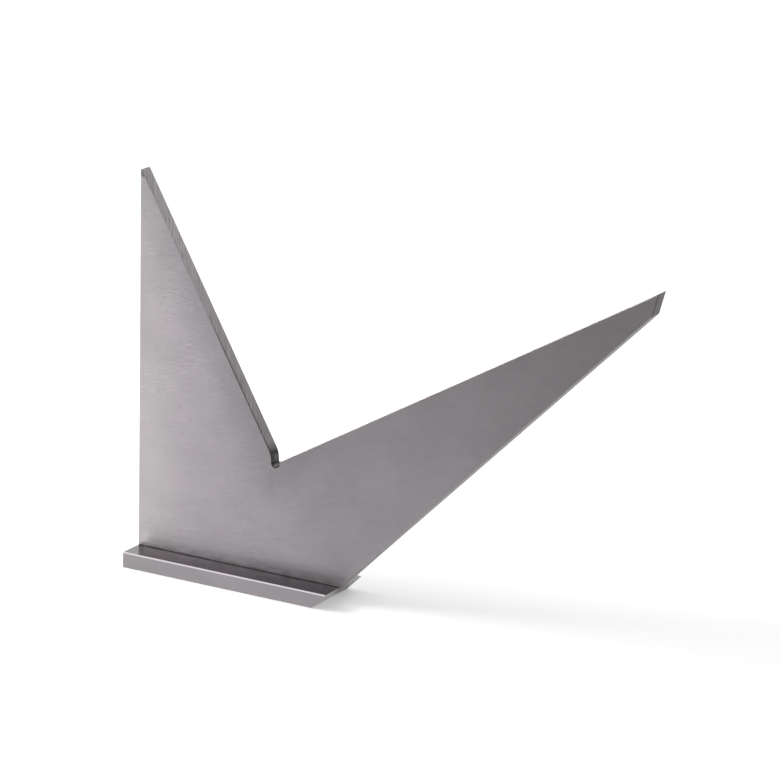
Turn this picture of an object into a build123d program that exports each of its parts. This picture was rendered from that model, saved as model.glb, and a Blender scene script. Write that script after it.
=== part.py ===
from build123d import *
from math import cos, radians, sin, tan
import os

# A square for checking 90 and 45 degrees: a V-shaped flat blade, seated in the groove of a flat back.
# Millimetres and degrees. The back rests on the ground plane with its long side along X. The origin is
# the centre of its underside, and the blade stands up along Z on the middle plane.

# Back
back_length = 80.0  # of the top face, from the square end to the mitred end
back_width = 24.0
back_height = 5.5
back_chamfer = 0.4  # on the two long top edges
groove_depth = 3.0  # how deep the foot of the blade sits in the back
groove_lip = 0.3  # chamfer on the mouth of the groove, seen as a fine dark line beside the blade
seat_clearance = 0.02  # between the foot and each wall of the groove

# Blade
blade_thickness = 5.0
tall_height = 131.5  # from the top of the back to the tip of the tall arm
tall_taper = 30.0  # between the two edges of the tall arm
tip_flat = 0.1  # width that is left at the very tip, between its broken edges
mitre_angle = 45.0  # between the back and the underside of the mitre arm
mitre_length = 157.5  # of the underside, from the top of the back to the end of the arm
mitre_taper = 15.0  # between the two edges of the mitre arm
end_width = 7.9  # across the blunt end of the mitre arm
end_angle = 75.0  # between the back and the blunt end

# Relief milled at the root of the V, parallel to the square edge
relief_width = 3.0
relief_depth = 1.5  # below the point where the two inner edges would meet
relief_blend = 7.5  # radius from the relief's wall into the inner edge of the tall arm

# Broken edges and wear
edge_break = 0.2
end_break = 0.5  # on the blunt end of the mitre arm
tip_facet_length = 2.6  # worn facets on the two sides of the tip, measured down the tall arm
tip_facet_depth = 0.3

# Places in the blade's plane that follow from the sizes
underside_length = back_length - back_height / tan(radians(mitre_angle))
square_x = -underside_length / 2
heel = Vector(square_x + back_length, back_height)
groove_floor = back_height - groove_depth
foot_end_x = heel.X - groove_depth / tan(radians(mitre_angle))
tip_z = back_height + tall_height
tip_land = tip_flat + edge_break * (1 + 1 / cos(radians(tall_taper)))
relief_radius = relief_width / 2


def along(start, angle, length):
    """The point at a distance and an angle from a point of the blade's plane."""
    return start + Vector(cos(radians(angle)), sin(radians(angle))) * length


def crossing(first, first_angle, second, second_angle):
    """The point where two lines of the blade's plane meet, each given by a point and an angle."""
    gap = second - first
    a, b = radians(first_angle), radians(second_angle)
    return along(first, first_angle, (gap.X * sin(b) - gap.Y * cos(b)) / sin(b - a))


def rim(plate):
    """Edges round the plate's two broad sides above the back, grouped along X: the blunt end's are last."""
    edges = plate.faces().filter_by(Axis.Y).edges()
    return edges.filter_by(lambda edge: edge.center().Z > back_height).group_by(Axis.X)


tip = Vector(square_x + tip_land, tip_z)
end_low = along(heel, mitre_angle, mitre_length)
end_high = along(end_low, end_angle, end_width)
root = crossing(end_high, mitre_angle - mitre_taper, tip, 90 + tall_taper)
relief_bend = crossing(Vector(root.X - relief_radius, root.Y), 90, tip, 90 + tall_taper)
relief_low = Vector(root.X, root.Y - relief_depth + relief_radius)
relief_high = Vector(root.X, relief_bend.Y + relief_radius)

# Blade: one flat plate, with the foot below the top of the back
with BuildPart() as blade:
    with BuildSketch(Plane.XZ) as outline:
        with BuildLine():
            Polyline(
                (square_x, groove_floor),
                (foot_end_x, groove_floor),
                (end_low.X, end_low.Y),
                (end_high.X, end_high.Y),
                (root.X, root.Y),
                (tip.X, tip.Y),
                (square_x, tip_z),
                close=True,
            )
        make_face()
        with Locations((relief_low + relief_high) * 0.5):
            SlotCenterToCenter(relief_high.Y - relief_low.Y, relief_width, rotation=90, mode=Mode.SUBTRACT)
        fillet(outline.vertices().sort_by_distance(relief_bend)[0], relief_blend)
    extrude(amount=blade_thickness / 2, both=True)

    # The blunt end has the wider chamfer, and every other edge above the back is just broken
    chamfer(rim(blade)[-1], end_break)
    chamfer([edge for group in rim(blade)[:-1] for edge in group], edge_break)

    # The facets lean in towards the tip, one on each broad side
    for side in (-1, 1):
        facet = Plane(
            origin=(square_x, side * blade_thickness / 2, tip_z - tip_facet_length),
            z_dir=(0, side * tip_facet_length, tip_facet_depth),
        )
        split(bisect_by=facet, keep=Keep.BOTTOM)

# Back: the grooved bar, mitred in one plane with the underside of the mitre arm
with BuildPart() as back:
    with BuildSketch(Plane.YZ.offset(square_x)) as section:
        Rectangle(back_width, back_height, align=(Align.CENTER, Align.MIN))
        chamfer(section.vertices().group_by(Axis.Y)[0], edge_break)
        chamfer(section.vertices().group_by(Axis.Y)[-1], back_chamfer)
        with Locations((0, groove_floor)):
            groove_width = blade_thickness + 2 * seat_clearance
            Rectangle(groove_width, groove_depth, align=(Align.CENTER, Align.MIN), mode=Mode.SUBTRACT)
        chamfer(section.vertices().group_by(Axis.Y)[-1].sort_by(Axis.X)[1:3], groove_lip)
    extrude(amount=back_length)
    mitre = Plane(
        origin=(heel.X, 0, heel.Y),
        z_dir=(sin(radians(mitre_angle)), 0, -cos(radians(mitre_angle))),
    )
    split(bisect_by=mitre, keep=Keep.BOTTOM)

blade.part.label = "blade"
back.part.label = "back"

os.makedirs("parts", exist_ok=True)
export_step(blade.part, "parts/blade.step")
export_step(back.part, "parts/back.step")
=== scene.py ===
# %% [markdown]
# # A ground steel mitre square
# The part is a square for checking right angles and mitres. A flat V-shaped blade stands in the groove
# of a flat back, and both pieces are ground steel. The shape is plain, so nearly all of the look is in
# the finish and the light. This lesson loads the finished shapes, sets up a camera and a small studio,
# and then builds the finish of each surface, one layer at a time.

from math import cos, radians, sin

import bmesh
import bpy
from mathutils import Matrix, Vector


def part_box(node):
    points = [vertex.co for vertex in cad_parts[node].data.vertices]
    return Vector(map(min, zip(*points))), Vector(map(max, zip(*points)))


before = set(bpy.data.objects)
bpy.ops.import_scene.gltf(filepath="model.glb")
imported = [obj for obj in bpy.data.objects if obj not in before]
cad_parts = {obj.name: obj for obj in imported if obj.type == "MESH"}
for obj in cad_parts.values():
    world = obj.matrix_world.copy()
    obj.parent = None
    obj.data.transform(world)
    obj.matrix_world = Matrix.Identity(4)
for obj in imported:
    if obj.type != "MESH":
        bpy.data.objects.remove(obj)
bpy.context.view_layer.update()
print("nodes:", sorted(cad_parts))

# %% [markdown]
# ## Sizes taken from the frame
# Each finish is placed by the real edges of the part. The edges could be typed in, but then a change of
# the part would leave the finish behind, so they are read from the boxes of the two pieces. All sizes
# of a finish are in millimetres, as a maker would give them, and positions in Blender are in metres.

# %% Measure the two pieces
MM = 0.001
blade_low, blade_high = (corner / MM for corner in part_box("blade"))
plate_half = (blade_high.y - blade_low.y) / 2
square_edge = blade_low.x
back_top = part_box("back")[1].z / MM
print("plate", round(2 * plate_half, 2), "mm thick, tip", round(blade_high.z, 1), "mm above the ground")
print("top of the back", round(back_top, 2), "mm above the ground")

# %% [markdown]
# The root of the V isn't a corner of any box, so it comes from the corners of the blade's mesh. Seen
# from the front, the inner edge of the tall arm leans 30 degrees from upright and that of the mitre arm
# rises 30 degrees, so the two meet at a right angle. How far the plate reaches along the outward
# direction of each edge gives the two lines, and the lines cross at the root.

# %% Find the root of the V
EDGE_LEAN = radians(30.0)
TALL_OUT = Vector((cos(EDGE_LEAN), 0.0, sin(EDGE_LEAN)))
MITRE_OUT = Vector((-sin(EDGE_LEAN), 0.0, cos(EDGE_LEAN)))
corners = [vertex.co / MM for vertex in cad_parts["blade"].data.vertices]
tall_reach = max(TALL_OUT.dot(corner) for corner in corners if corner.x < 0)
mitre_reach = max(MITRE_OUT.dot(corner) for corner in corners if corner.x > blade_high.x / 2)
root = TALL_OUT * tall_reach + MITRE_OUT * mitre_reach
print("root of the V at", round(root.x, 2), round(root.z, 2), "mm")

# %% [markdown]
# ## The camera
# The square is seen from the front right and a little above, through a long lens. The angles, the
# distance and the lens were found from the straight edges of the part as they run in the picture. A
# camera could track a target instead, but a matrix also holds the slight roll of a hand-set camera.

# %% Place the camera
VIEW_AZIMUTH = radians(29.79)
VIEW_ELEVATION = radians(16.61)
VIEW_ROLL = radians(1.343)
VIEW_DISTANCE = 1.4025  # metres
VIEW_LENS = 198.17  # millimetres
VIEW_AIM = Vector((58.75, 0.0, 75.98)) * MM  # the point in the middle of the view
VIEW_REACH = 50.0  # metres to the furthest thing that the camera shows


def direction(azimuth, elevation):
    """A unit vector: azimuth 0 is the front of the part, 90 degrees its right."""
    level = Vector((sin(azimuth), -cos(azimuth), 0.0)) * cos(elevation)
    return level + Vector((0.0, 0.0, sin(elevation)))


def place_camera():
    out = direction(VIEW_AZIMUTH, VIEW_ELEVATION)
    level_right = (-out).cross(Vector((0, 0, 1))).normalized()
    level_up = level_right.cross(-out)
    right = cos(VIEW_ROLL) * level_right + sin(VIEW_ROLL) * level_up
    up = cos(VIEW_ROLL) * level_up - sin(VIEW_ROLL) * level_right
    holder = bpy.data.objects.new("camera", bpy.data.cameras.new("camera"))
    bpy.context.scene.collection.objects.link(holder)
    turn = Matrix((right, up, out)).transposed().to_4x4()
    holder.matrix_world = Matrix.Translation(VIEW_AIM + out * VIEW_DISTANCE) @ turn
    holder.data.lens = VIEW_LENS
    holder.data.clip_end = VIEW_REACH
    return holder


bpy.context.scene.camera = place_camera()
bpy.context.scene.view_settings.view_transform = "Standard"
print("camera at", [round(c, 3) for c in bpy.context.scene.camera.location])

# %% [markdown]
# ## Small tools for finishes
# A finish is a tree of nodes. Written out node by node it is long and hard to follow, so five small
# helpers do the wiring: one starts a material, one adds a node and plugs its inputs, one does a sum, one
# multiplies several factors, and one turns a measure into a soft step, which is what most masks are.
# Each mask is then set by a pair of numbers: the measure where it starts and the one where it is full.


# %% Helpers that wire a finish
def new_finish(name):
    material = bpy.data.materials.new(name)
    material.use_nodes = True
    material.node_tree.nodes.clear()
    return material, material.node_tree


def add(tree, kind, inputs=None, **settings):
    node = tree.nodes.new(kind)
    for key, value in settings.items():
        setattr(node, key, value)
    for key, value in (inputs or {}).items():
        if isinstance(value, bpy.types.NodeSocket):
            tree.links.new(value, node.inputs[key])
        else:
            node.inputs[key].default_value = value
    return node


def calc(tree, operation, *values):
    inputs = dict(enumerate(values))
    return add(tree, "ShaderNodeMath", inputs, operation=operation).outputs[0]


def times(tree, first, *others):
    for other in others:
        first = calc(tree, "MULTIPLY", first, other)
    return first


def step(tree, value, low, high, start=0.0, end=1.0):
    """A soft step: start where the value is at low, end where it is at high."""
    inputs = {"Value": value, "From Min": low, "From Max": high, "To Min": start, "To Max": end}
    return add(tree, "ShaderNodeMapRange", inputs, interpolation_type="SMOOTHSTEP").outputs["Result"]


print("helpers:", [helper.__name__ for helper in (new_finish, add, calc, times, step)])

# %% [markdown]
# ## The floor
# The part stands on a plain white table. The table is a matt white sheet that the lamps light, so it
# takes the soft shadow of the part. A little glow is added for the rays that look at it, from the
# camera or out of a mirror-like surface, and that brings the paper up to white without more light. The
# lamps hang close to the part, so the glow grows away from it, where their light no longer reaches.


# %% Lay the floor
PAPER_WHITE = (0.9, 0.9, 0.9, 1.0)
GLOW_DISTANCE = (0.35, 1.30)  # metres from the part, where the glow starts to grow and where it is full
GLOW_STRENGTH = (0.30, 0.55)  # at these two distances
FLOOR_REACH = 6.0  # metres from the part to each side of the floor


def table_white():
    material, tree = new_finish("table_white")
    paper = add(tree, "ShaderNodeBsdfDiffuse", {"Color": PAPER_WHITE})
    rays = add(tree, "ShaderNodeLightPath").outputs
    seen = calc(tree, "MAXIMUM", rays["Is Camera Ray"], rays["Is Glossy Ray"])
    seen = calc(tree, "MAXIMUM", seen, rays["Is Transmission Ray"])
    place = add(tree, "ShaderNodeTexCoord").outputs["Object"]
    away = add(tree, "ShaderNodeVectorMath", {0: place}, operation="LENGTH").outputs["Value"]
    lift = step(tree, away, *GLOW_DISTANCE, *GLOW_STRENGTH)
    glow = add(tree, "ShaderNodeEmission", {"Strength": times(tree, seen, lift)})
    both = add(tree, "ShaderNodeAddShader", {0: paper.outputs[0], 1: glow.outputs[0]})
    add(tree, "ShaderNodeOutputMaterial", {"Surface": both.outputs[0]})
    return material


def lay_sheet(name, corners, material):
    """A flat sheet through its corners, which belongs to the stage and not to the part."""
    mesh = bmesh.new()
    mesh.faces.new([mesh.verts.new(corner) for corner in corners])
    data = bpy.data.meshes.new(name)
    mesh.to_mesh(data)
    mesh.free()
    data.materials.append(material)
    sheet = bpy.data.objects.new(name, data)
    bpy.context.scene.collection.objects.link(sheet)
    return sheet


floor_corners = [(x * FLOOR_REACH, y * FLOOR_REACH, 0) for x, y in ((-1, -1), (1, -1), (1, 1), (-1, 1))]
lay_sheet("floor", floor_corners, table_white())
print("floor", 2 * FLOOR_REACH, "m wide")

# %% [markdown]
# ## Cards for the steel to mirror
# Bare steel has hardly any colour of its own: it shows what stands around it. In an all-white room it
# turns as pale and flat as paper. A photographer therefore lays cards just outside the picture, and the
# steel mirrors them. Here a graded card lies in front of the part, light grey close by and charcoal
# further off. Its edge runs out to the left, so the blade mirrors white table at its square edge and
# more and more of the card towards the end of the mitre arm. A white card stands behind at the left, for
# the left end of the back's top. A dark one hangs at the front left: the rest of that top sees it by way
# of the blade, so it stays darker than the faces. Only mirror rays see the cards.


# %% Cut the three papers
CARD_FADE = (-0.10, -0.27)  # metres along Y: where the front card is lightest, and where it is darkest
CARD_GREYS = (0.75, 0.13)  # at these two places
DARK_PAPER = (0.02, 0.02, 0.02, 1.0)


def graded_card():
    material, tree = new_finish("graded_card")
    place = add(tree, "ShaderNodeTexCoord").outputs["Object"]
    forward = add(tree, "ShaderNodeSeparateXYZ", {0: place}).outputs[1]
    tone = step(tree, forward, *CARD_FADE, *CARD_GREYS)
    grey = add(tree, "ShaderNodeCombineXYZ", {0: tone, 1: tone, 2: tone}).outputs[0]
    paper = add(tree, "ShaderNodeBsdfDiffuse", {"Color": grey})
    add(tree, "ShaderNodeOutputMaterial", {"Surface": paper.outputs[0]})
    return material


def white_card():
    material, tree = new_finish("white_card")
    glow = add(tree, "ShaderNodeEmission", {"Strength": 1.0})
    add(tree, "ShaderNodeOutputMaterial", {"Surface": glow.outputs[0]})
    return material


def dark_card():
    material, tree = new_finish("dark_card")
    paper = add(tree, "ShaderNodeBsdfDiffuse", {"Color": DARK_PAPER})
    add(tree, "ShaderNodeOutputMaterial", {"Surface": paper.outputs[0]})
    return material


print("front card from grey", CARD_GREYS[0], "to grey", CARD_GREYS[1])

# %% [markdown]
# ## Where the cards stand
# The front card is one flat sheet whose near side is cut to a slanting outline, because that outline is
# what the blade mirrors as its change from light to dark. The other two are upright, each over a line on
# the floor. Soft boxes with cloth could do the same, but flat cards are easier to move.


# %% Set out the cards
OFF_THE_FLOOR = 0.001
CARD_NEAR_SIDE = [(0.24, -0.05), (0.02, -0.03), (-0.07, -0.075), (-0.15, -0.29), (-0.36, -0.38)]
CARD_OUTLINE = [(-0.36, -0.54), (0.24, -0.54)] + CARD_NEAR_SIDE
WHITE_CARD_FEET = [(-0.50, 0.35), (-0.10, 0.60)]
WHITE_CARD_TOP = 0.40
DARK_CARD_FEET = [(-0.80, -0.42), (-0.12, -0.82)]
DARK_CARD_FOOT, DARK_CARD_TOP = 0.10, 0.62


def show_to_mirrors_only(sheet):
    sheet.visible_camera = False
    sheet.visible_diffuse = False
    sheet.visible_shadow = False
    sheet.visible_transmission = False


def upright(feet, foot, top):
    """The corners of an upright card over a line on the floor."""
    return [(x, y, foot) for x, y in feet] + [(x, y, top) for x, y in reversed(feet)]


front_corners = [(x, y, OFF_THE_FLOOR) for x, y in CARD_OUTLINE]
white_corners = upright(WHITE_CARD_FEET, OFF_THE_FLOOR, WHITE_CARD_TOP)
dark_corners = upright(DARK_CARD_FEET, DARK_CARD_FOOT, DARK_CARD_TOP)
show_to_mirrors_only(lay_sheet("front_card", front_corners, graded_card()))
show_to_mirrors_only(lay_sheet("back_card", white_corners, white_card()))
show_to_mirrors_only(lay_sheet("dark_card", dark_corners, dark_card()))
print("front card through", CARD_OUTLINE)

# %% [markdown]
# ## The light
# An even white sky fills every shadow. Three large lamps then give the steel its direction: one low at
# the left lights the square edge most and falls off along the mitre arm, one high at the left makes the
# chamfers of the back shine, and one behind lifts the inner edge of the tall arm. They are large and
# close, so their shadows are soft. A sun would be simpler, but it lights both arms alike.

# %% Set up the sky and the lamps
SKY_STRENGTH = 0.42
sky = bpy.data.worlds.new("studio")
bpy.context.scene.world = sky
sky.use_nodes = True
sky.node_tree.nodes.clear()
sky_light = add(sky.node_tree, "ShaderNodeBackground", {"Color": (1, 1, 1, 1), "Strength": SKY_STRENGTH})
add(sky.node_tree, "ShaderNodeOutputWorld", {"Surface": sky_light.outputs[0]})

LAMP_AIM = Vector((0.05, 0.0, 0.06))  # metres: close to the middle of the part
LAMPS = {
    # name: azimuth and elevation in degrees, distance and width in metres, power in watts
    "left_low": (-75, 22, 0.7, 0.4, 4.5),
    "left_high": (-60, 56, 1.0, 0.6, 1.2),
    "behind": (170, 40, 1.0, 0.7, 2.15),
}


def hang_lamp(name, azimuth, elevation, distance, width, power):
    light = bpy.data.lights.new(name, "AREA")
    light.size = width
    light.energy = power
    out = direction(radians(azimuth), radians(elevation))
    lamp = bpy.data.objects.new(name, light)
    bpy.context.scene.collection.objects.link(lamp)
    lamp.location = LAMP_AIM + out * distance
    lamp.rotation_euler = (-out).to_track_quat("-Z", "Y").to_euler()
    lamp.visible_camera = False


for lamp_name, setting in LAMPS.items():
    hang_lamp(lamp_name, *setting)
print("lamps:", list(LAMPS), sum(setting[-1] for setting in LAMPS.values()), "W")

# %% [markdown]
# ## Where a point is, and which way its surface faces
# Both pieces are cut from bright steel and then ground, so one finish has to tell the broad faces from
# the narrow edges and the chamfers. A mesh could carry a separate material for each face, but a mask
# from the direction of the surface does the same and leaves the mesh alone. Object coordinates are
# used throughout, in millimetres, so that a pattern keeps its real size on every face.


# %% Read place and direction
class Spot:
    """The place of a point in millimetres and the direction of the surface there."""

    def __init__(self, tree):
        coordinates = add(tree, "ShaderNodeTexCoord").outputs
        scaled = {0: coordinates["Object"], "Scale": 1.0 / MM}
        self.tree = tree
        self.place = add(tree, "ShaderNodeVectorMath", scaled, operation="SCALE").outputs[0]
        self.normal = coordinates["Normal"]
        self.x, self.y, self.z = add(tree, "ShaderNodeSeparateXYZ", {0: self.place}).outputs
        self.to_x, self.to_y, self.to_z = add(tree, "ShaderNodeSeparateXYZ", {0: self.normal}).outputs
        self.from_middle = calc(tree, "ABSOLUTE", self.y)
        self.side = calc(tree, "ABSOLUTE", self.to_y)

    def along(self, vector):
        """How far the point lies along a direction, in millimetres."""
        inputs = {0: self.place, 1: vector}
        return add(self.tree, "ShaderNodeVectorMath", inputs, operation="DOT_PRODUCT").outputs["Value"]


print("a spot reads its place in units of", MM, "m")

# %% [markdown]
# ## Noise with a direction
# Nearly every mark on ground steel is longer than it is wide, because the wheel or the file runs one
# way. The same cloudy noise makes all of them: each axis gets its own number of grains to a
# millimetre, so a small number along the mark draws it out and a large one across keeps it thin.


# %% Draw directed noise
GRAIN_CRISPNESS = 0.55  # how strongly the finer parts of the noise show


def grains(spot, per_mm, detail=3.0, shift=0.0, axes=None):
    """Noise from 0 to 1 with its own count of grains to a millimetre along each axis.

    The shift moves to another part of the noise, so that no two layers look alike.
    """
    tree = spot.tree
    axes = axes or (spot.x, spot.y, spot.z)
    parts = [calc(tree, "MULTIPLY_ADD", axis, count, shift) for axis, count in zip(axes, per_mm)]
    where = add(tree, "ShaderNodeCombineXYZ", dict(enumerate(parts))).outputs[0]
    inputs = {"Vector": where, "Scale": 1.0, "Detail": detail, "Roughness": GRAIN_CRISPNESS}
    return add(tree, "ShaderNodeTexNoise", inputs).outputs[0]


def swing(tree, value, amount):
    """Turn noise into a factor about 1 that swings by the amount each way."""
    return calc(tree, "MULTIPLY_ADD", value, 2.0 * amount, 1.0 - amount)


def blend(tree, share, first, second):
    """The first value where the share is 0, the second where it is 1."""
    difference = calc(tree, "SUBTRACT", second, first)
    return calc(tree, "MULTIPLY_ADD", difference, share, first)


print("noise with crispness", GRAIN_CRISPNESS)

# %% [markdown]
# ## The ground broad faces
# A surface grinder leaves fine lines across the plate. Seen from a metre away they are not lines any
# more but a faint grain, drawn out along the way the wheel ran, which on this blade rises a little to
# the right. Each line could be cut into the mesh, but the camera would see none of them, so four layers
# of directed noise make the surface: the grain, finer lines for a close look, slow cloudy changes where
# the wheel pressed more or less, and the smudges of hands.

# %% Grind the broad faces
WHEEL_TILT = radians(8.0)
# Grains to a millimetre along the way of the wheel, through the plate, and across the way of the wheel
WHEEL_GRAIN = (0.26, 1.0, 1.5)
FINE_LINES = (0.05, 7.0, 7.0)
PRESSURE_CLOUDS = (0.06, 0.10, 0.07)
SMUDGES = (0.30, 0.5, 0.35)  # along X, Y and Z
FINE_LINE_HEIGHT = 0.4  # beside the height of the grain


def wheel_axes(spot, tilt):
    """Distances along the way the wheel ran, through the plate, and across the way the wheel ran."""
    along = spot.along((cos(tilt), 0.0, sin(tilt)))
    across = spot.along((-sin(tilt), 0.0, cos(tilt)))
    return along, spot.y, across


def ground_face(spot, tilt=0.0):
    """The shade and the height of a ground surface."""
    tree = spot.tree
    axes = wheel_axes(spot, tilt)
    grain = grains(spot, WHEEL_GRAIN, detail=4.0, axes=axes)
    lines = grains(spot, FINE_LINES, detail=2.0, shift=31.0, axes=axes)
    clouds = grains(spot, PRESSURE_CLOUDS, detail=4.0, shift=57.0, axes=axes)
    smudges = grains(spot, SMUDGES, detail=3.0, shift=67.0)
    shade = times(
        tree,
        swing(tree, grain, amount=0.05),
        swing(tree, lines, amount=0.04),
        swing(tree, clouds, amount=0.12),
        swing(tree, smudges, amount=0.05),
    )
    return shade, calc(tree, "MULTIPLY_ADD", lines, FINE_LINE_HEIGHT, grain)


print("wheel marks rise", round(WHEEL_TILT / radians(1.0), 1), "degrees to the right")

# %% [markdown]
# ## Marks in the ground face
# Here and there a grit cut deeper and left a short bright or dark mark. The marks come in patches, most
# of them on the left half and low down over the back, and the mitre arm is nearly free of them. Hundreds
# of marks are too many to place by hand, so they are noise with all but its highest and lowest parts cut
# away, and a second, slower noise keeps them in patches.


# %% Mark the ground face
MARKS = (0.34, 2.2, 2.6)  # to a millimetre along, through and across the way of the wheel
MARK_PATCHES = (0.06, 0.09, 0.12)
BRIGHT_NOISE, BRIGHT_GAIN = (0.57, 0.74), 0.17
DARK_NOISE, DARK_LOSS = (0.40, 0.26), 0.15
PATCH_NOISE, SHARE_BETWEEN_PATCHES = (0.42, 0.62), 0.30
MARKS_THIN_OUT, SHARE_ON_MITRE_ARM = (root.x - 5, root.x + 35), 0.15
MARKS_ON_TALL_ARM, SHARE_BELOW_IT = (root.z + 6, root.z + 20), 0.6
MARKS_OVER_THE_BACK, SHARE_OVER_THE_BACK = (back_top + 18, back_top + 6), 1.9


def wheel_marks(spot, tilt):
    """Short bright and dark marks in patches, to be added to the shade."""
    tree = spot.tree
    axes = wheel_axes(spot, tilt)
    marks = grains(spot, MARKS, detail=1.0, shift=83.0, axes=axes)
    bright = step(tree, marks, *BRIGHT_NOISE, 0.0, BRIGHT_GAIN)
    dark = step(tree, marks, *DARK_NOISE, 0.0, DARK_LOSS)
    patches = grains(spot, MARK_PATCHES, detail=2.0, shift=11.0, axes=axes)
    share = times(
        tree,
        step(tree, patches, *PATCH_NOISE, SHARE_BETWEEN_PATCHES, 1.0),
        step(tree, spot.x, *MARKS_THIN_OUT, 1.0, SHARE_ON_MITRE_ARM),
        step(tree, spot.z, *MARKS_ON_TALL_ARM, SHARE_BELOW_IT, 1.0),
    )
    low = step(tree, spot.z, *MARKS_OVER_THE_BACK, 1.0, SHARE_OVER_THE_BACK)
    return times(tree, calc(tree, "SUBTRACT", bright, dark), times(tree, share, low))


print("bright marks up to", BRIGHT_GAIN, "and dark ones down to", -DARK_LOSS)

# %% [markdown]
# ## Pits
# A few tiny pits, about half a millimetre wide, are scattered over the ground faces. A bump could sink
# them, but at this size only a dark spot shows. Each is the middle of a cell in a pattern of scattered
# cells. The surface meets few of the middles, so the pits are rare and no two come close together.


# %% Scatter the pits
PIT_CELLS = 0.16  # to a millimetre
PIT_RADIUS = (0.03, 0.06)  # in widths of a cell: the dark middle, and where the pit ends
PIT_TONE = 0.80


def pits(spot):
    """Rare dark pits, as a factor."""
    cells = add(spot.tree, "ShaderNodeTexVoronoi", {"Vector": spot.place, "Scale": PIT_CELLS})
    return step(spot.tree, cells.outputs["Distance"], *PIT_RADIUS, PIT_TONE, 1.0)


print("cells of the pits", round(1 / PIT_CELLS, 1), "mm wide")

# %% [markdown]
# ## Painted light and shade on the blade
# The blade isn't one tone from end to end. A painted light makes the square edge the brightest, painted
# shade darkens the blunt end of the mitre arm, and more painted shade makes the steel a little darker down
# in the V. A painted map could hold these tones, but they are simple enough for masks that follow the
# sizes. The depth below the two inner edges gives the place of the shade in the V: it is the larger of
# the distances to their two lines.


# %% Paint light and shade on the blade
V_SHADE_DEPTH, V_SHADE_LOSS = (15.0, 0.0), 0.16  # below the inner edges, where the painted shade ends and is full
V_SHADE_FADES = (root.x + 5, root.x + 45)
# painted light along the square edge
SQUARE_EDGE_LIGHT_BAND, SQUARE_EDGE_LIGHT_TONE = (square_edge, square_edge + 24), 1.07
# painted shade towards the blunt end of the mitre arm
BLUNT_END_SHADE_BAND, BLUNT_END_SHADE_TONE = (root.x + 60, blade_high.x), 0.86


def painted_shade_in_the_v(spot):
    """A painted shade: a factor below 1 close to the inner edges, fading along the mitre arm."""
    tree = spot.tree
    below_tall = calc(tree, "SUBTRACT", tall_reach, spot.along(TALL_OUT))
    below_mitre = calc(tree, "SUBTRACT", mitre_reach, spot.along(MITRE_OUT))
    # painted shade in the V, deepest right under the inner edges
    v_shade = step(tree, calc(tree, "MAXIMUM", below_tall, below_mitre), *V_SHADE_DEPTH, 0.0, V_SHADE_LOSS)
    return calc(tree, "SUBTRACT", 1.0, times(tree, v_shade, step(tree, spot.x, *V_SHADE_FADES, 1.0, 0.0)))


def painted_light_at_square_edge(spot):
    """A painted light: a factor above 1 along the square edge."""
    return step(spot.tree, spot.x, *SQUARE_EDGE_LIGHT_BAND, SQUARE_EDGE_LIGHT_TONE, 1.0)


def painted_shade_at_blunt_end(spot):
    """A painted shade: a factor below 1 towards the blunt end of the mitre arm."""
    return step(spot.tree, spot.x, *BLUNT_END_SHADE_BAND, 1.0, BLUNT_END_SHADE_TONE)


print("tones from", BLUNT_END_SHADE_TONE, "to", SQUARE_EDGE_LIGHT_TONE)

# %% [markdown]
# ## Painted shade and light at the foot
# Just over the back the foot of the blade is darkened with painted shade. Right above the corner a
# painted light brightens it again, in a soft strip with stronger blotches along its lower side. One mask
# would look like a painted band, so three are joined: shade, strip and blotches.


# %% Paint shade and light on the foot
FOOT_SHADE_BAND, FOOT_SHADE_TONE = (back_top + 24, back_top + 4), 0.94
LIGHT_STRIP = (back_top + 7, back_top + 1)
LIGHT_STRIP_ALONG, LIGHT_STRIP_GAIN = (root.x - 20, root.x + 5), (0.40, 0.15)
LIGHT_CORNER = (back_top + 3.2, back_top + 0.8)
CORNER_BLOTCHES = (0.22, 1.0, 0.9)  # to a millimetre along X, Y and Z
BLOTCH_NOISE, BLOTCH_GAIN = (0.36, 0.60), (0.08, 0.50)
LIGHT_STARTS = (square_edge, square_edge + 4)


def painted_shade_and_light_at_foot(spot):
    """Painted shade over the foot above the back, and painted light in a strip just above the corner."""
    tree = spot.tree
    # painted shade over the foot above the back
    dull = step(tree, spot.z, *FOOT_SHADE_BAND, 1.0, FOOT_SHADE_TONE)
    strip = times(tree, step(tree, spot.z, *LIGHT_STRIP), step(tree, spot.x, *LIGHT_STRIP_ALONG, *LIGHT_STRIP_GAIN))
    blotches = grains(spot, CORNER_BLOTCHES, detail=3.0, shift=41.0)
    blotches = step(tree, blotches, *BLOTCH_NOISE, *BLOTCH_GAIN)
    corner = times(tree, step(tree, spot.z, *LIGHT_CORNER), blotches)
    # painted light in the strip and the blotches just above the corner
    painted_light = times(tree, calc(tree, "ADD", strip, corner), step(tree, spot.x, *LIGHT_STARTS))
    return times(tree, dull, calc(tree, "ADD", painted_light, 1.0))


print("foot rubbed up to", round(LIGHT_STRIP[0] - back_top, 1), "mm above the back")

# %% [markdown]
# ## The narrow edges
# The narrow edges are ground along their own length, so the lines must turn from one edge to the next.
# Each edge could have its own pattern, turned by hand, but the surface itself gives the direction. Across
# the plate is always Y, and the direction in the surface at right angles to Y runs along the edge. One
# pattern then serves all the edges.


# %% Grind the narrow edges
EDGE_LINES = (0.08, 2.6, 0.0)  # to a millimetre along the edge and across it
EDGE_CLOUDS = (0.12, 0.3, 0.0)
MOTTLE = (0.9, 0.9, 0.9)  # to a millimetre along X, Y and Z


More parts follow.
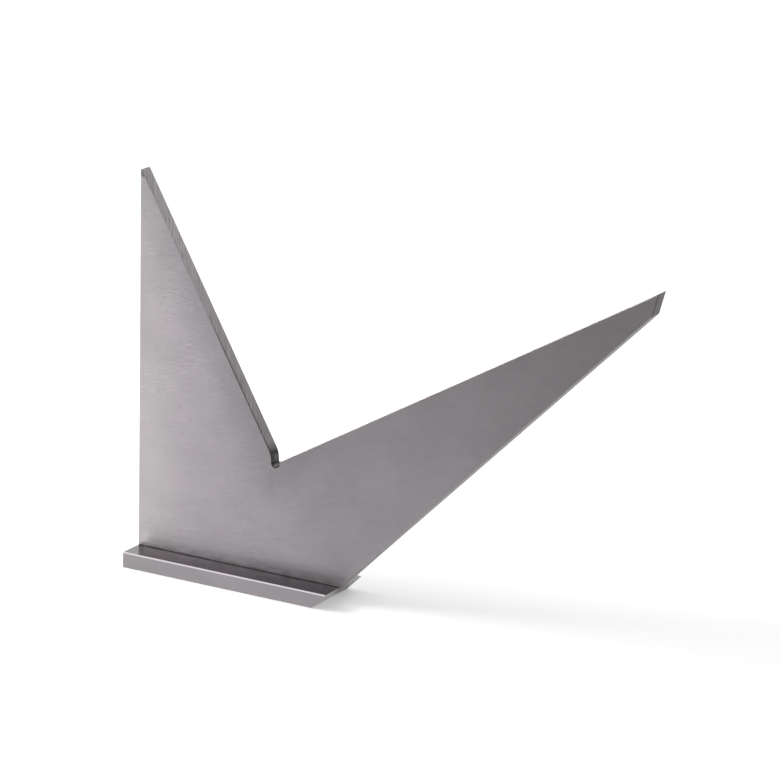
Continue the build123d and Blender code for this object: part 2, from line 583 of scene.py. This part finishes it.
def ground_edge(spot):
    """The shade of an edge that is ground along its length."""
    tree = spot.tree
    turned = {0: spot.normal, 1: (0.0, 1.0, 0.0)}
    run = add(tree, "ShaderNodeVectorMath", turned, operation="CROSS_PRODUCT").outputs[0]
    axes = (spot.along(run), spot.y, spot.x)
    lines = grains(spot, EDGE_LINES, detail=3.0, shift=19.0, axes=axes)
    clouds = grains(spot, EDGE_CLOUDS, detail=2.0, shift=71.0, axes=axes)
    return times(tree, swing(tree, lines, amount=0.10), swing(tree, clouds, amount=0.08))


def mottle(spot, amount):
    """Blotches about a millimetre across, on steel that was cut and never ground."""
    return swing(spot.tree, grains(spot, MOTTLE, detail=3.0, shift=44.0), amount)


print("edge lines about", round(1 / EDGE_LINES[0], 1), "mm long")

# %% [markdown]
# ## The filed inner edge of the tall arm
# The long inner edge of the tall arm isn't ground. It shows the oblique strokes of a file, drawn across
# the plate at about a third of a right angle to the edge, dense in some stretches and nearly absent in
# others. The strokes are noise again, laid in two directions of the edge's own plane: one along the
# strokes, one across. Lower down a dark line of painted shade follows the front side of the edge.

# %% Stroke the inner edge
STROKE_ANGLE = radians(34.0)
EDGE_LINE = Vector((-sin(EDGE_LEAN), 0.0, cos(EDGE_LEAN)))
PLATE_LINE = Vector((0.0, 1.0, 0.0))
stroke_line = cos(STROKE_ANGLE) * EDGE_LINE + sin(STROKE_ANGLE) * PLATE_LINE
stroke_across = cos(STROKE_ANGLE) * PLATE_LINE - sin(STROKE_ANGLE) * EDGE_LINE

STROKES = (0.08, 2.0, 0.0)  # to a millimetre along the strokes and across them
STROKE_NOISE, STROKE_SWING = (0.38, 0.62), (-0.34, 0.22)
DENSE_STRETCHES = (0.0, 0.10, 0.075)  # to a millimetre across the strokes and up the arm
DENSE_NOISE, THIN_SHARE = (0.40, 0.58), 0.25
STROKES_FADE, REAR_SHARE = (plate_half, -plate_half), 0.6
UPPER_EDGE, UPPER_EDGE_TONES = (blade_high.z - 25, blade_high.z - 2), (0.97, 0.80)


def stroked_edge(spot):
    """The shade and the height of the oblique strokes on the inner edge of the tall arm."""
    tree = spot.tree
    axes = (spot.along(stroke_line), spot.along(stroke_across), spot.z)
    strokes = grains(spot, STROKES, detail=2.0, axes=axes)
    stretches = grains(spot, DENSE_STRETCHES, detail=1.0, shift=29.0, axes=axes)
    dense = step(tree, stretches, *DENSE_NOISE, THIN_SHARE, 1.0)
    front = step(tree, spot.y, *STROKES_FADE, REAR_SHARE, 1.0)
    marks = times(tree, step(tree, strokes, *STROKE_NOISE, *STROKE_SWING), times(tree, dense, front))
    upper = step(tree, spot.z, *UPPER_EDGE, *UPPER_EDGE_TONES)
    return times(tree, calc(tree, "ADD", marks, 1.0), upper, mottle(spot, amount=0.07)), strokes


# painted shade: a dark line along the front side of the inner edge, lower down
DARK_LINE_WIDTH = (-plate_half + 0.7, -plate_half + 0.3)
LOWER_HALF = (root.z + 52, root.z + 34)
DARK_LINE_LOSS = 0.45


def painted_dark_line(spot):
    """A painted shade: a factor that darkens the front side of the inner edge in its lower half."""
    tree = spot.tree
    near = step(tree, spot.y, *DARK_LINE_WIDTH)
    low = step(tree, spot.z, *LOWER_HALF)
    return calc(tree, "MULTIPLY_ADD", times(tree, near, low), -DARK_LINE_LOSS, 1.0)


print("stroke direction", [round(c, 3) for c in stroke_line])

# %% [markdown]
# ## Grime and painted shade in the relief
# The relief at the root of the V can't be wiped, so old oil and dust stay in it, in dark blotches on its
# wall. Painted shade darkens the recess as well, most at its bottom and on its broken rim, where the steel
# would mirror bright light. The relief could have a material of its own, but the darkening fades out
# upwards over the filed edge. So it is a mask, a small box round the root, and only the narrow faces and
# the broken edges take it, never the broad sides.


# %% Fill the relief with old oil and painted shade
RELIEF_HEIGHT = (root.z + 7.5, root.z + 2)
RELIEF_LEFT = (root.x - 9, root.x - 8)
RELIEF_RIGHT = (root.x + 2.6, root.x + 2.2)
GRIME_BLOTCHES = (0.5, 0.7, 0.5)  # to a millimetre
GRIME_NOISE, GRIME_TONES = (0.42, 0.58), (0.34, 0.95)
# painted shade on the bottom of the relief, and on its broken rim below
BOTTOM_FACES, BOTTOM_PAINTED_SHADE = (0.15, 0.45), 0.22  # how far the surface faces upwards
RIM_PAINTED_SHADE = 0.30


def grime_and_painted_shade(spot, narrow, broken):
    """A factor that darkens the inside of the relief, with dark blotches and painted shade."""
    tree = spot.tree
    inside = times(
        tree,
        step(tree, spot.z, *RELIEF_HEIGHT),
        step(tree, spot.x, *RELIEF_LEFT),
        step(tree, spot.x, *RELIEF_RIGHT),
    )
    blotches = grains(spot, GRIME_BLOTCHES, detail=3.0, shift=3.0)
    blotches = step(tree, blotches, *GRIME_NOISE, *GRIME_TONES)
    # painted shade on the faces of the bottom, which look upwards
    wall = blend(tree, step(tree, spot.to_z, *BOTTOM_FACES), blotches, BOTTOM_PAINTED_SHADE)
    on_wall = blend(tree, times(tree, inside, narrow), 1.0, wall)
    # painted shade on the broken rim of the relief
    on_rim = blend(tree, times(tree, inside, broken), 1.0, RIM_PAINTED_SHADE)
    return times(tree, on_wall, on_rim)


print("relief within", round(RELIEF_RIGHT[0] - RELIEF_LEFT[0], 1), "mm of width")

# %% [markdown]
# ## The colour of the steel
# The steel is grey with the slightest mauve cast, and handling has left a faint straw tint in patches
# beside the square edge. The tint could be a second material, but it fades away without an edge, so it
# is added to the colour by a mask. The shade of each finish then multiplies the colour.


# %% Mix the colour
STEEL = (0.430, 0.400, 0.421)
STRAW_SHIFT = (-0.004, 0.0, -0.014)  # added to the colour where hands have left a straw tint
STRAW_BAND = (square_edge + 17, square_edge + 6)
STRAW_PATCHES = (0.05, 0.07, 0.05)  # to a millimetre
STRAW_NOISE, STRAW_SHARE = (0.35, 0.55), (0.4, 1.0)


def tinted_steel(spot):
    """The colour of the steel, with a faint straw tint in patches beside the square edge."""
    tree = spot.tree
    beside = step(tree, spot.x, *STRAW_BAND)
    patches = step(tree, grains(spot, STRAW_PATCHES, detail=2.0, shift=53.0), *STRAW_NOISE, *STRAW_SHARE)
    inputs = {0: times(tree, beside, patches), 1: STRAW_SHIFT, 2: STEEL}
    return add(tree, "ShaderNodeVectorMath", inputs, operation="MULTIPLY_ADD").outputs[0]


def coloured(spot, shade):
    """The colour of the steel multiplied by a shade."""
    inputs = {0: tinted_steel(spot), 1: shade}
    return add(spot.tree, "ShaderNodeVectorMath", inputs, operation="MULTIPLY").outputs[0]


print("steel", STEEL)

# %% [markdown]
# ## The steel itself
# Ground steel is a bare metal whose fine lines spread the light across them and hardly along them. The
# lines are far finer than a pixel, so the shader spreads the light for them, along a direction that lies
# in the surface at right angles to the length of the part. Only the coarser grain is left to a bump of
# a few hundredths of a millimetre.


# %% Join the layers into steel
BUMP_STRENGTH = 0.5
BUMP_DEPTH = 0.03 * MM
LIGHT_SPREAD = 0.4  # 0 spreads the light evenly, and 1 almost only across the lines
NEVER_ZERO = (0.0, 0.001, 0.0)  # leaves a direction on faces that look along the length of the part
UNEVEN_PATCHES = (0.3, 1.0, 1.0)  # to a millimetre along X, Y and Z


def across_lines(spot):
    """The direction across the grinding lines, along which the light is spread."""
    tree = spot.tree
    inputs = {0: spot.normal, 1: (1.0, 0.0, 0.0)}
    crossed = add(tree, "ShaderNodeVectorMath", inputs, operation="CROSS_PRODUCT").outputs[0]
    return add(tree, "ShaderNodeVectorMath", {0: crossed, 1: NEVER_ZERO}, operation="ADD").outputs[0]


def uneven(spot):
    """A factor about 1 for the roughness, which is never quite even."""
    return swing(spot.tree, grains(spot, UNEVEN_PATCHES, shift=5.0), amount=0.06)


def steel_shader(spot, shade, roughness, height):
    """Join the layers of a finish into the steel of one piece."""
    tree = spot.tree
    depth = {"Strength": BUMP_STRENGTH, "Distance": BUMP_DEPTH, "Height": height}
    inputs = {
        "Base Color": coloured(spot, shade),
        "Metallic": 1.0,
        "Roughness": roughness,
        "Anisotropic": LIGHT_SPREAD,
        "Tangent": across_lines(spot),
        "Normal": add(tree, "ShaderNodeBump", depth).outputs[0],
    }
    shader = add(tree, "ShaderNodeBsdfPrincipled", inputs)
    add(tree, "ShaderNodeOutputMaterial", {"Surface": shader.outputs[0]})


print("bump", BUMP_DEPTH / MM, "mm deep")

# %% [markdown]
# ## Which face of the blade is which
# The blade is one piece of steel, but each of its faces was finished in its own way. A face could be
# picked by its number, but the numbers change with the shape. The direction of the surface picks it just
# as well: the broad sides face along Y, the broken edges lean half way, and what is left are the narrow
# edges, told apart by how far they face right or upwards.


# %% Pick the faces of the blade
BROAD = (0.85, 0.95)  # the share of the direction that is along Y
NARROW = (0.55, 0.45)
PARTLY_UP, PARTLY_RIGHT = (0.30, 0.40), (0.60, 0.70)  # the inner edge of the tall arm
STRAIGHT_RIGHT, STRAIGHT_LEFT = (0.90, 0.95), (-0.90, -0.95)
HALF_DOWN = (-0.60, -0.68)


class BladeFaces:
    """A mask for each kind of face, from the direction of the surface."""

    def __init__(self, spot):
        tree = spot.tree
        broad = step(tree, spot.side, *BROAD)
        self.narrow = step(tree, spot.side, *NARROW)
        self.broken = calc(tree, "SUBTRACT", calc(tree, "SUBTRACT", 1.0, broad), self.narrow)
        leaning = times(tree, step(tree, spot.to_z, *PARTLY_UP), step(tree, spot.to_x, *PARTLY_RIGHT))
        self.inner_of_tall_arm = times(tree, self.narrow, leaning)
        self.as_cut = times(tree, self.narrow, step(tree, spot.to_x, *STRAIGHT_RIGHT))
        self.underside = times(tree, self.narrow, step(tree, spot.to_z, *HALF_DOWN))
        self.square_edge = times(tree, self.narrow, step(tree, spot.to_x, *STRAIGHT_LEFT))


print("broad sides face along Y by more than", BROAD[0])

# %% [markdown]
# ## The broad sides of the blade
# The broad sides take the ground surface with its marks and pits, and then the painted light and shade,
# each a factor on the last. A painted light makes the tall arm a little brighter towards its tip. The two
# facets at the tip are darker and blotched. All of it could be mixed in one long line of nodes, but one
# function for each layer keeps them easy to change.


# %% Finish the broad sides
# painted light: the tall arm brightens towards its tip
UPPER_ARM_LIGHT, UPPER_ARM_LIGHT_TONES = (blade_high.z - 35, blade_high.z - 5), (0.98, 1.06)
TIP_FACETS, TIP_FACET_TONE = (blade_high.z - 2.5, blade_high.z - 2.1), 0.62


def broad_side(spot):
    """The shade and the height of the broad sides."""
    tree = spot.tree
    face, height = ground_face(spot, WHEEL_TILT)
    face = calc(tree, "ADD", face, wheel_marks(spot, WHEEL_TILT))
    face = times(tree, face, pits(spot), painted_shade_in_the_v(spot), painted_light_at_square_edge(spot), painted_shade_at_blunt_end(spot))
    face = times(tree, face, painted_shade_and_light_at_foot(spot), step(tree, spot.z, *UPPER_ARM_LIGHT, *UPPER_ARM_LIGHT_TONES))
    # the two facets at the tip, darker and blotched
    darker_facets = times(tree, mottle(spot, amount=0.2), TIP_FACET_TONE)
    return blend(tree, step(tree, spot.z, *TIP_FACETS), face, darker_facets), height


print("tip facets from", round(TIP_FACETS[0], 1), "mm upwards")

# %% [markdown]
# ## The narrow faces of the blade
# The narrow faces start as ground edges. Over that the inner edge of the tall arm gets its file strokes.
# The blunt end and the wall of the relief stay as they were cut and blotched, darkened with painted shade.
# The underside of the mitre arm is ground, and painted shade darkens it, most of all close to the back.
# Each face could have a material of its own, but laid over one another they share the same noise and
# colour.


# %% Finish the narrow faces
# painted shade on the blunt end and the wall of the relief
AS_CUT_SHADE_TONE = 0.27
# painted shade on the underside, darkest close to the back
UNDERSIDE_SHADE_BAND, UNDERSIDE_SHADE_TONES = (back_top + 2, back_top + 25), (0.26, 0.36)


def narrow_faces(spot, faces, shade):
    """The shade with the narrow faces laid over it, and the height of the file strokes."""
    tree = spot.tree
    edge = ground_edge(spot)
    shade = blend(tree, faces.narrow, shade, edge)
    stroked, strokes = stroked_edge(spot)
    shade = blend(tree, faces.inner_of_tall_arm, shade, times(tree, stroked, painted_dark_line(spot)))
    shade = blend(tree, faces.as_cut, shade, times(tree, mottle(spot, amount=0.22), AS_CUT_SHADE_TONE))
    under_shade = step(tree, spot.z, *UNDERSIDE_SHADE_BAND, *UNDERSIDE_SHADE_TONES)
    return blend(tree, faces.underside, shade, times(tree, edge, under_shade)), strokes


print("underside tones", UNDERSIDE_SHADE_TONES)

# %% [markdown]
# ## The broken edges of the blade
# Every sharp edge is broken, which leaves a thin band that catches the light in its own way. A painted
# highlight makes it shine along the upper half of the tall arm's inner edge, painted shade makes it dark
# along the lower half, and beside the blunt end painted shade makes it nearly as dark as the cut. The
# bands are narrower than a pixel in places, so their tone is set outright and not left to what they happen
# to mirror.


# %% Break the edges
TALL_EDGE = (tall_reach - 0.5, tall_reach - 0.4)  # reach along the outward direction of that edge
LEFT_OF_ROOT = (root.x, root.x - 2)
TALL_EDGE_HIGHLIGHT_AND_SHADE = (1.30, 0.50)
# painted highlight up the tall edge, painted shade lower down and by the blunt end
BY_THE_BLUNT_END, BROKEN_EDGE_SHADE_TONES = (blade_high.x - 3, blade_high.x - 2.5), (0.70, 0.34)


def broken_edge(spot):
    """The painted highlight and shade of the broken edges."""
    tree = spot.tree
    on_tall_edge = step(tree, spot.along(TALL_OUT), *TALL_EDGE)
    on_tall_edge = times(tree, on_tall_edge, step(tree, spot.x, *LEFT_OF_ROOT))
    tone = step(tree, spot.x, *BY_THE_BLUNT_END, *BROKEN_EDGE_SHADE_TONES)
    tone = blend(tree, on_tall_edge, tone, step(tree, spot.z, *LOWER_HALF, *TALL_EDGE_HIGHLIGHT_AND_SHADE))
    return times(tree, mottle(spot, amount=0.15), tone)


print("broken edges from tone", BROKEN_EDGE_SHADE_TONES[1], "to", TALL_EDGE_HIGHLIGHT_AND_SHADE[0])

# %% [markdown]
# ## The blade
# The blade's finish puts these layers together. A thin dark line of old oil and painted shade closes the
# seam over the back. It could be left to the shadow in the groove, but a clean groove isn't dark enough.
# The underside and the square edge stand open at the back's ends and are free of it.


# %% Finish the blade
# old oil and painted shade along the seam
SEAM, SEAM_SHADE_TONE = (back_top + 0.10, back_top + 0.30), 0.30
BLADE_ROUGHNESS = 0.38


def blade_finish():
    material, tree = new_finish("blade_ground_steel")
    spot = Spot(tree)
    faces = BladeFaces(spot)
    side, height = broad_side(spot)
    shade, strokes = narrow_faces(spot, faces, side)
    shade = blend(tree, faces.broken, shade, broken_edge(spot))
    shade = times(tree, shade, grime_and_painted_shade(spot, faces.narrow, faces.broken))
    open_faces = calc(tree, "MAXIMUM", faces.underside, faces.square_edge)
    # old oil and painted shade along the seam over the back
    seam = step(tree, spot.z, *SEAM, SEAM_SHADE_TONE, 1.0)
    shade = times(tree, shade, calc(tree, "MAXIMUM", seam, open_faces))
    height = blend(tree, faces.inner_of_tall_arm, height, strokes)
    steel_shader(spot, shade, times(tree, uneven(spot), BLADE_ROUGHNESS), height)
    return material


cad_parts["blade"].material_slots[0].material = blade_finish()
print("blade:", len(bpy.data.materials["blade_ground_steel"].node_tree.nodes), "nodes")

# %% [markdown]
# ## The back
# The back is ground finer than the blade, so it is glossier, and its top shows a dark mirror of the
# blade, deepened with painted shade. The long top chamfers are the last cut, and a painted highlight makes
# them the brightest: they catch the light as one fine line. The square end is ground bright. The mitred
# end is bright and smooth at the front, and rougher behind the blade, where painted shade also darkens it.
# The mouth of the groove holds old oil and painted shade, the darkest place on the part. All of this is
# one material again, with masks that read the direction of the surface.


# %% Tone the faces of the back
# painted shade on the level top, and a painted highlight on the chamfers
LEVEL_SHADE_TONE, SIDE_TONE, CHAMFER_HIGHLIGHT_TONE = 0.63, 0.72, 1.12
SQUARE_END_TONE = 0.95
BEHIND_THE_BLADE = (0.5, 6.0)  # along Y, where the mitred end turns rougher, and darker with painted shade
# painted shade on the mitred end behind the blade
MITRED_END_SHADE_TONES = (0.95, 0.45)
MOUTH_ACROSS = (plate_half + 0.5, plate_half + 0.3)
MOUTH_DEPTH = (back_top - 1.2, back_top - 1.0)
# old oil and painted shade in the mouth of the groove
MOUTH_SHADE_TONE = 0.05
FACING = (0.85, 0.95)  # the share of the direction that is along an axis
END_FACING = (0.5, 0.6)  # lower, because the mitred end looks half downwards


def groove_mouth(spot, ends):
    """A mask for the mouth of the groove, except where the ends cut through it."""
    tree = spot.tree
    across = step(tree, spot.from_middle, *MOUTH_ACROSS)
    depth = step(tree, spot.z, *MOUTH_DEPTH)
    return times(tree, across, depth, calc(tree, "SUBTRACT", 1.0, ends))


print("mouth of the groove down to", round(back_top - MOUTH_DEPTH[0], 1), "mm")

# %% [markdown]
# ## Joining the finish of the back
# The layers go on from the largest face to the smallest: the level faces and the sides, the two ends,
# the chamfers and last the mouth of the groove. A chamfer is whatever is left when the flat faces and
# the ends are taken away, so it needs no sizes. The roughness follows the same masks.


# %% Finish the back
BACK_ROUGHNESS, CHAMFER_ROUGHNESS = 0.25, 0.16
MITRED_END_ROUGHNESS = (0.22, 0.38)


def back_finish():
    material, tree = new_finish("back_ground_steel")
    spot = Spot(tree)
    level = step(tree, calc(tree, "ABSOLUTE", spot.to_z), *FACING)
    flat = calc(tree, "MAXIMUM", level, step(tree, spot.side, *FACING))
    ends = step(tree, calc(tree, "ABSOLUTE", spot.to_x), *END_FACING)
    mitred = step(tree, spot.to_x, *END_FACING)
    chamfer = calc(tree, "SUBTRACT", calc(tree, "SUBTRACT", 1.0, flat), ends)

    face, height = ground_face(spot)
    # painted shade on the level faces
    shade = times(tree, face, blend(tree, level, SIDE_TONE, LEVEL_SHADE_TONE))
    # painted shade on the mitred end behind the blade
    mitred_shade = step(tree, spot.y, *BEHIND_THE_BLADE, *MITRED_END_SHADE_TONES)
    end_tone = blend(tree, mitred, SQUARE_END_TONE, mitred_shade)
    shade = blend(tree, ends, shade, times(tree, ground_edge(spot), end_tone))
    # painted highlight on the chamfers
    shade = blend(tree, chamfer, shade, CHAMFER_HIGHLIGHT_TONE)
    # old oil and painted shade in the mouth of the groove
    shade = blend(tree, groove_mouth(spot, ends), shade, MOUTH_SHADE_TONE)

    roughness = blend(tree, chamfer, BACK_ROUGHNESS, CHAMFER_ROUGHNESS)
    dull = step(tree, spot.y, *BEHIND_THE_BLADE, *MITRED_END_ROUGHNESS)
    roughness = blend(tree, mitred, roughness, dull)
    steel_shader(spot, shade, times(tree, uneven(spot), roughness), height)
    return material


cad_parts["back"].material_slots[0].material = back_finish()
print("back:", len(bpy.data.materials["back_ground_steel"].node_tree.nodes), "nodes")
